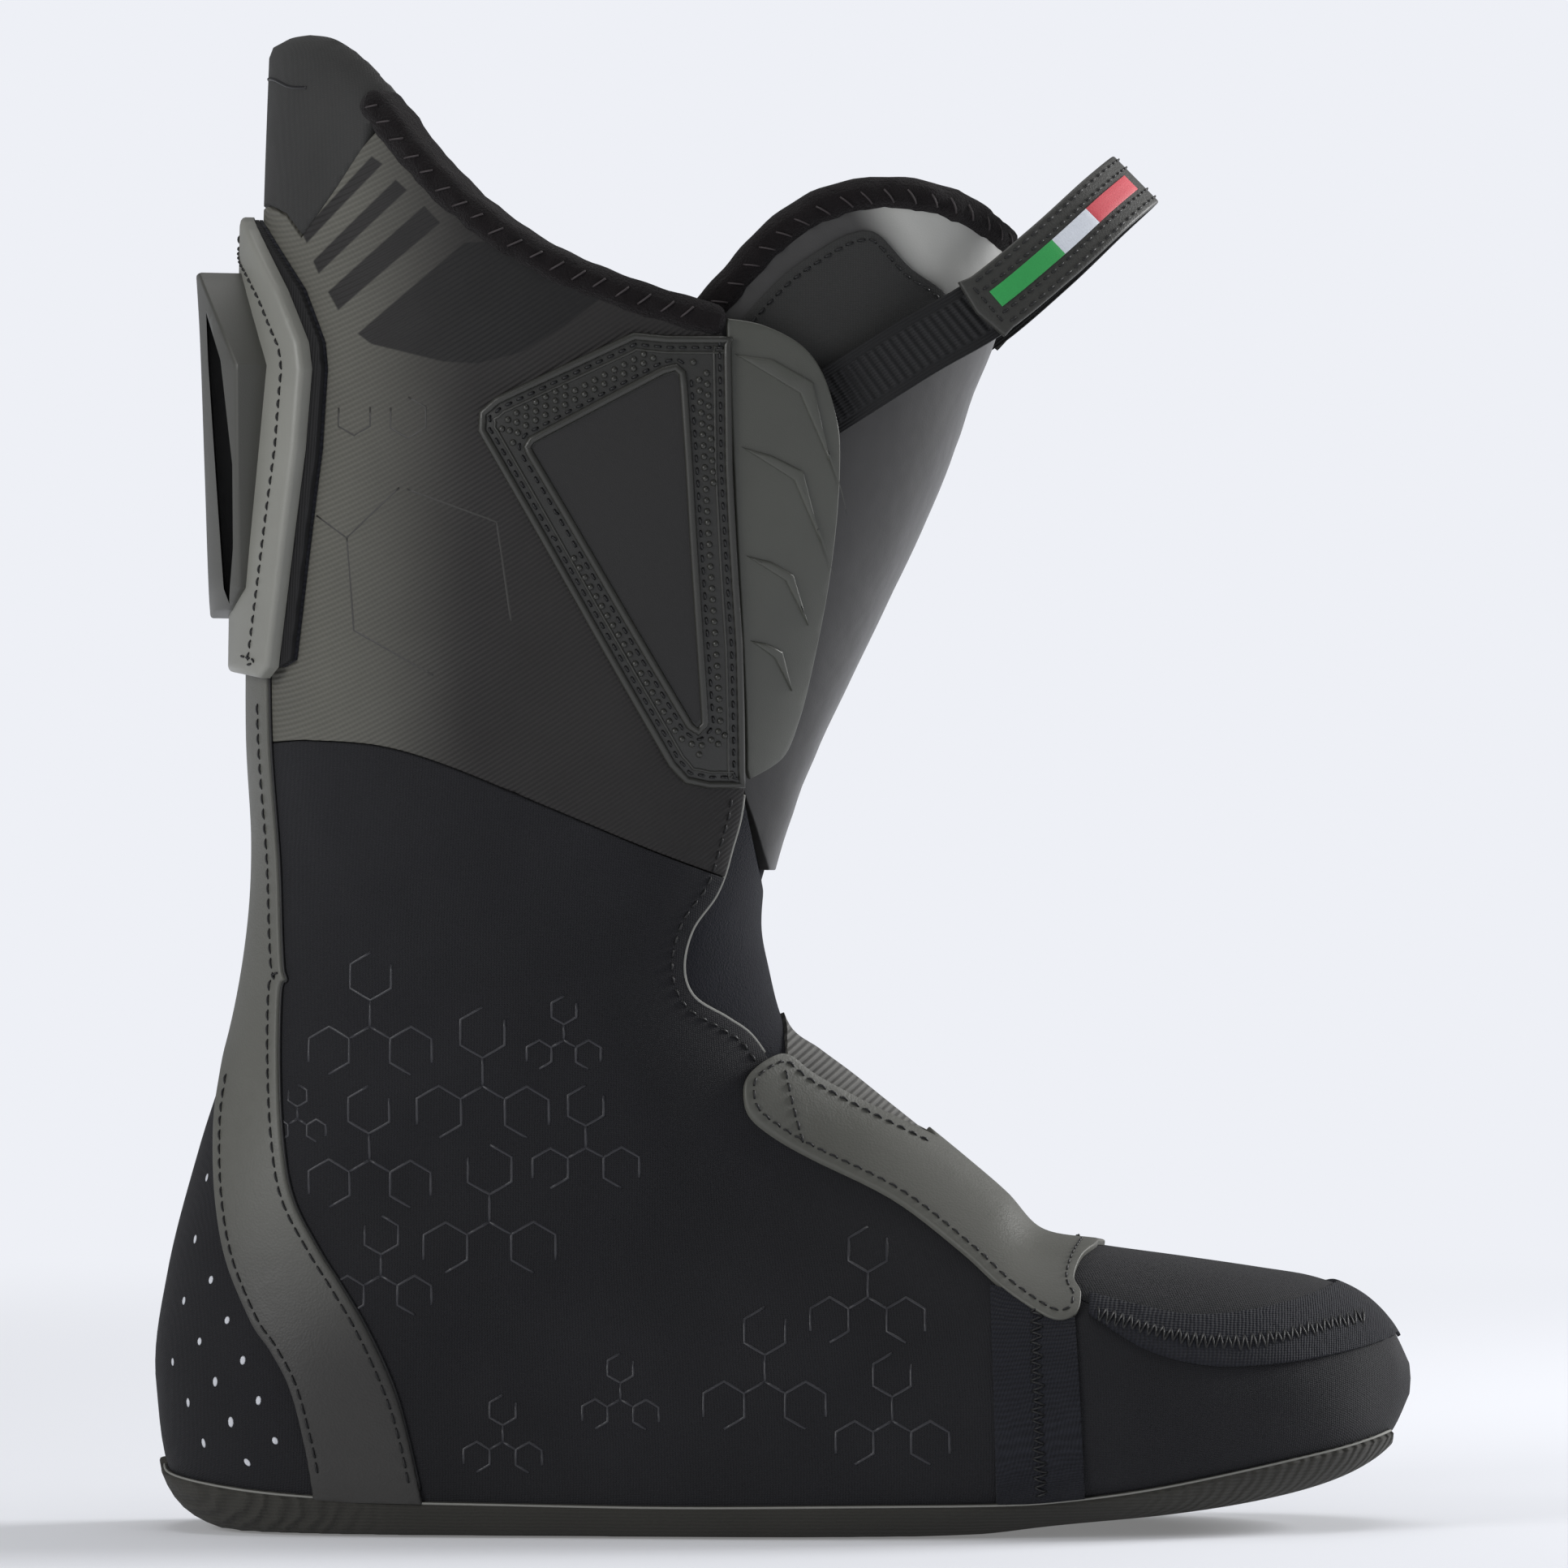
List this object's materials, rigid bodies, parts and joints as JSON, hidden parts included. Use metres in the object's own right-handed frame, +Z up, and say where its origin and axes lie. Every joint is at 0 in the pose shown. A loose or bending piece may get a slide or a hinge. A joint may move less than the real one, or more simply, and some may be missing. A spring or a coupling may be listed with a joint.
{
  "type": "ski boot liner",
  "caption": "Right inner boot for an alpine ski boot: foam cuff and foot, opening tongue with pull loop, front flaps and rear spoiler pad.",
  "frame": {"origin": "on the ground under the middle of the boot's length and width", "axes": "+X toe, +Y to the wearer's left (the inner side of this right boot), +Z up"},
  "size_m": [0.286, 0.1072, 0.3382],
  "materials": {
    "black_knit": "matte stretch knit",
    "grey_laminate": "satin twill laminate",
    "grey_leather": "smooth synthetic leather",
    "plush": "short pile",
    "foam": "closed foam behind fabric",
    "fleece": "brushed fleece",
    "elastic": "ribbed elastic",
    "tape": "knitted tape",
    "felt": "dense textile",
    "webbing": "ribbed webbing",
    "insert": "matte sheet",
    "moulded_grey": "satin moulded",
    "tongue_plastic": "satin flexible plastic",
    "stripe_green": "printed",
    "stripe_white": "printed",
    "stripe_red": "printed"
  },
  "bodies": {
    "boot": {"outsole": "felt", "sole_rand": "felt", "lasting_board": "foam", "footbed": "fleece", "cuff_skin_left": "grey_laminate", "quarter_skin_left": "black_knit", "cuff_foam_left": "foam", "quarter_foam_left": "foam", "ankle_pad_left": "foam", "collar_binding_left": "plush", "heel_strap_left": "grey_leather", "triangle_frame_left": "moulded_grey", "triangle_insert_left": "insert", "vamp_tape_left": "tape", "cuff_skin_right": "grey_laminate", "quarter_skin_right": "black_knit", "cuff_foam_right": "foam", "quarter_foam_right": "foam", "ankle_pad_right": "foam", "collar_binding_right": "plush", "heel_strap_right": "grey_leather", "triangle_frame_right": "moulded_grey", "triangle_insert_right": "insert", "vamp_tape_right": "tape", "heel_panel": "black_knit", "instep_elastic": "elastic", "toe_top_panel": "black_knit", "toe_side_panel": "black_knit", "toe_box_foam": "foam", "throat_gusset": "fleece", "foot_lining": "fleece", "cuff_lining": "fleece", "rear_collar": "black_knit", "back_strip": "grey_leather", "vamp_overlay": "grey_leather", "toe_seam_tape": "tape", "tongue_root": "fleece", "spoiler_loop_pad": "tape"},
    "tongue": {"tongue_shell": "tongue_plastic", "tongue_pad": "fleece", "tongue_lining": "fleece", "tongue_binding": "plush", "tongue_panel_left": "black_knit", "tongue_panel_right": "black_knit"},
    "pull_loop": {"loop_webbing": "webbing", "loop_tab": "grey_leather", "tab_stripe_green": "stripe_green", "tab_stripe_white": "stripe_white", "tab_stripe_red": "stripe_red"},
    "spoiler": {"spoiler_plate": "moulded_grey", "spoiler_block": "moulded_grey", "spoiler_hook_pad": "webbing"},
    "flap_left": {"front_flap_left": "moulded_grey"},
    "flap_right": {"front_flap_right": "moulded_grey"}
  },
  "joints": [
    {"name": "tongue_flex", "type": "hinge", "parent": "boot", "child": "tongue", "pos_m": [0.002, 0, 0.115], "axis": [0, 1, 0], "range_deg": [0, 35], "stiffness_Nm_per_rad": 1.2},
    {"name": "loop_swing", "type": "hinge", "parent": "tongue", "child": "pull_loop", "pos_m": [0.0138, 0, 0.255], "axis": [0, 1, 0], "range_deg": [-14, 25], "stiffness_Nm_per_rad": 0.2},
    {"name": "flap_left_bend", "type": "hinge", "parent": "boot", "child": "flap_left", "pos_m": [-0.0109, 0.0485, 0.221], "axis": [-0.0372, 0.1167, 0.9925], "range_deg": [0, 40], "stiffness_Nm_per_rad": 0.3},
    {"name": "flap_right_bend", "type": "hinge", "parent": "boot", "child": "flap_right", "pos_m": [-0.0109, -0.0485, 0.221], "axis": [-0.0372, -0.1167, 0.9925], "range_deg": [-40, 0], "stiffness_Nm_per_rad": 0.3},
    {"name": "spoiler_peel", "type": "slide", "parent": "boot", "child": "spoiler", "axis": [-1, 0, 0], "range_m": [0, 0.05]}
  ]
}
